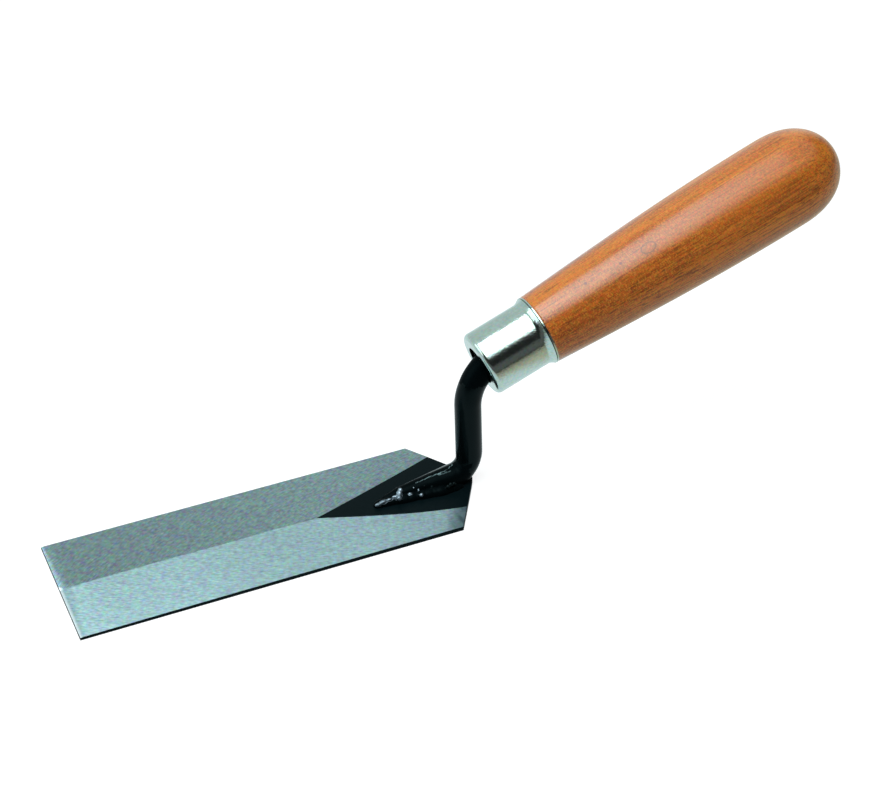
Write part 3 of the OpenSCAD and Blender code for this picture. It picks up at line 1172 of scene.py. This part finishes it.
def white_table():
    """A plain table that shows as white, gleams in metal and throws back soft light."""
    material, nodes, shader = new_material("white_table")
    nodes.tree.nodes.remove(shader)
    path = nodes.add("LightPath").outputs
    lit = nodes.add("BsdfDiffuse", {"Color": TABLE_GREY}).outputs[0]
    unseen = nodes.add("MixShader", (path["Is Glossy Ray"], lit, table_gleam(nodes))).outputs[0]
    surface = nodes.add("MixShader", (path["Is Camera Ray"], unseen, table_white(nodes))).outputs[0]
    nodes.feed(nodes.tree.nodes["Material Output"].inputs["Surface"], surface)
    return material


def add_floor():
    """A table just below the blade's sole."""
    bm = bmesh.new()
    front = ((TABLE_LEFT, TABLE_FRONT), (TABLE_RIGHT, TABLE_FRONT))
    back = ((TABLE_RIGHT, TABLE_BACK), (TABLE_LEFT, TABLE_BACK))
    bm.faces.new([bm.verts.new((x, y, -TABLE_DROP)) for x, y in front + back])
    mesh = bpy.data.meshes.new("table")
    bm.to_mesh(mesh)
    bm.free()
    mesh.materials.append(white_table())
    table = bpy.data.objects.new("table", mesh)
    bpy.context.scene.collection.objects.link(table)


def studio_room(nodes):
    """What metal reflects of the room: a pale wall at the back, and a dim front under a bright ceiling."""
    direction = nodes.add("TexCoord").outputs["Generated"]
    towards_wall = nodes.add("VectorMath", (direction, WALL_DIRECTION), operation="DOT_PRODUCT")
    wall = nodes.fade(towards_wall.outputs["Value"], -0.1, 0.5)
    _, _, height = nodes.split(direction)
    ceiling = nodes.fade(height, 0.58, 0.85, low=0.02)
    low_glow = nodes.fade(height, 0.3, 0.12, high=0.1)
    return nodes.blend(wall, nodes.math("ADD", ceiling, low_glow), WALL_TONE)


def add_world():
    """White behind the object, a room for reflections and a dim even light."""
    world = bpy.data.worlds.new("studio")
    bpy.context.scene.world = world
    world.use_nodes = True
    nodes = Nodes(world.node_tree)
    path = nodes.add("LightPath").outputs
    reflected = nodes.math("MAXIMUM", path["Is Glossy Ray"], path["Is Transmission Ray"])
    ambient = nodes.blend(reflected, AMBIENT_TONE, studio_room(nodes))
    colour = nodes.blend(path["Is Camera Ray"], ambient, WHITE)
    nodes.feed(nodes.tree.nodes["Background"].inputs["Color"], colour)


patch_lacquer = black_lacquer("patch_lacquer", roughness=0.34, shine=0.03, grain=1.5 * MM, depth=0.01 * MM)
edge_lacquer = black_lacquer("edge_lacquer", roughness=0.4, shine=0.05, grain=1.5 * MM, depth=0.01 * MM)
shank_lacquer = black_lacquer(
    "shank_lacquer", roughness=0.15, shine=0.1, grain=2 * MM, depth=0.01 * MM, tone_scale=0.35
)
weld_lacquer = black_lacquer(
    "weld_lacquer", roughness=0.3, shine=0.02, grain=1.0 * MM, depth=0.03 * MM, tone_scale=0.4
)
glossy_lacquer = black_lacquer("glossy_lacquer", roughness=0.2, shine=1.0, grain=2 * MM, depth=0.003 * MM)
rim_lacquer = black_lacquer("rim_lacquer", roughness=0.15, shine=0.4, grain=2 * MM, depth=0.003 * MM)
resin = dark_resin()
make_blade(ground_steel(), patch_lacquer, edge_lacquer)
make_shank(shank_lacquer, weld_lacquer, rim_lacquer)
make_near_weld(weld_lacquer, bare_weld(), glossy_lacquer, shank_lacquer)
make_far_weld(glossy_lacquer)
make_nose_weld(weld_lacquer)
make_ferrule(plated_nickel())
make_handle(lacquered_wood(), resin)
finish_resin(resin)
add_camera()
add_floor()
add_world()
add_key_lamp()
add_fill_lamp()
bpy.context.scene.view_settings.view_transform = "Standard"
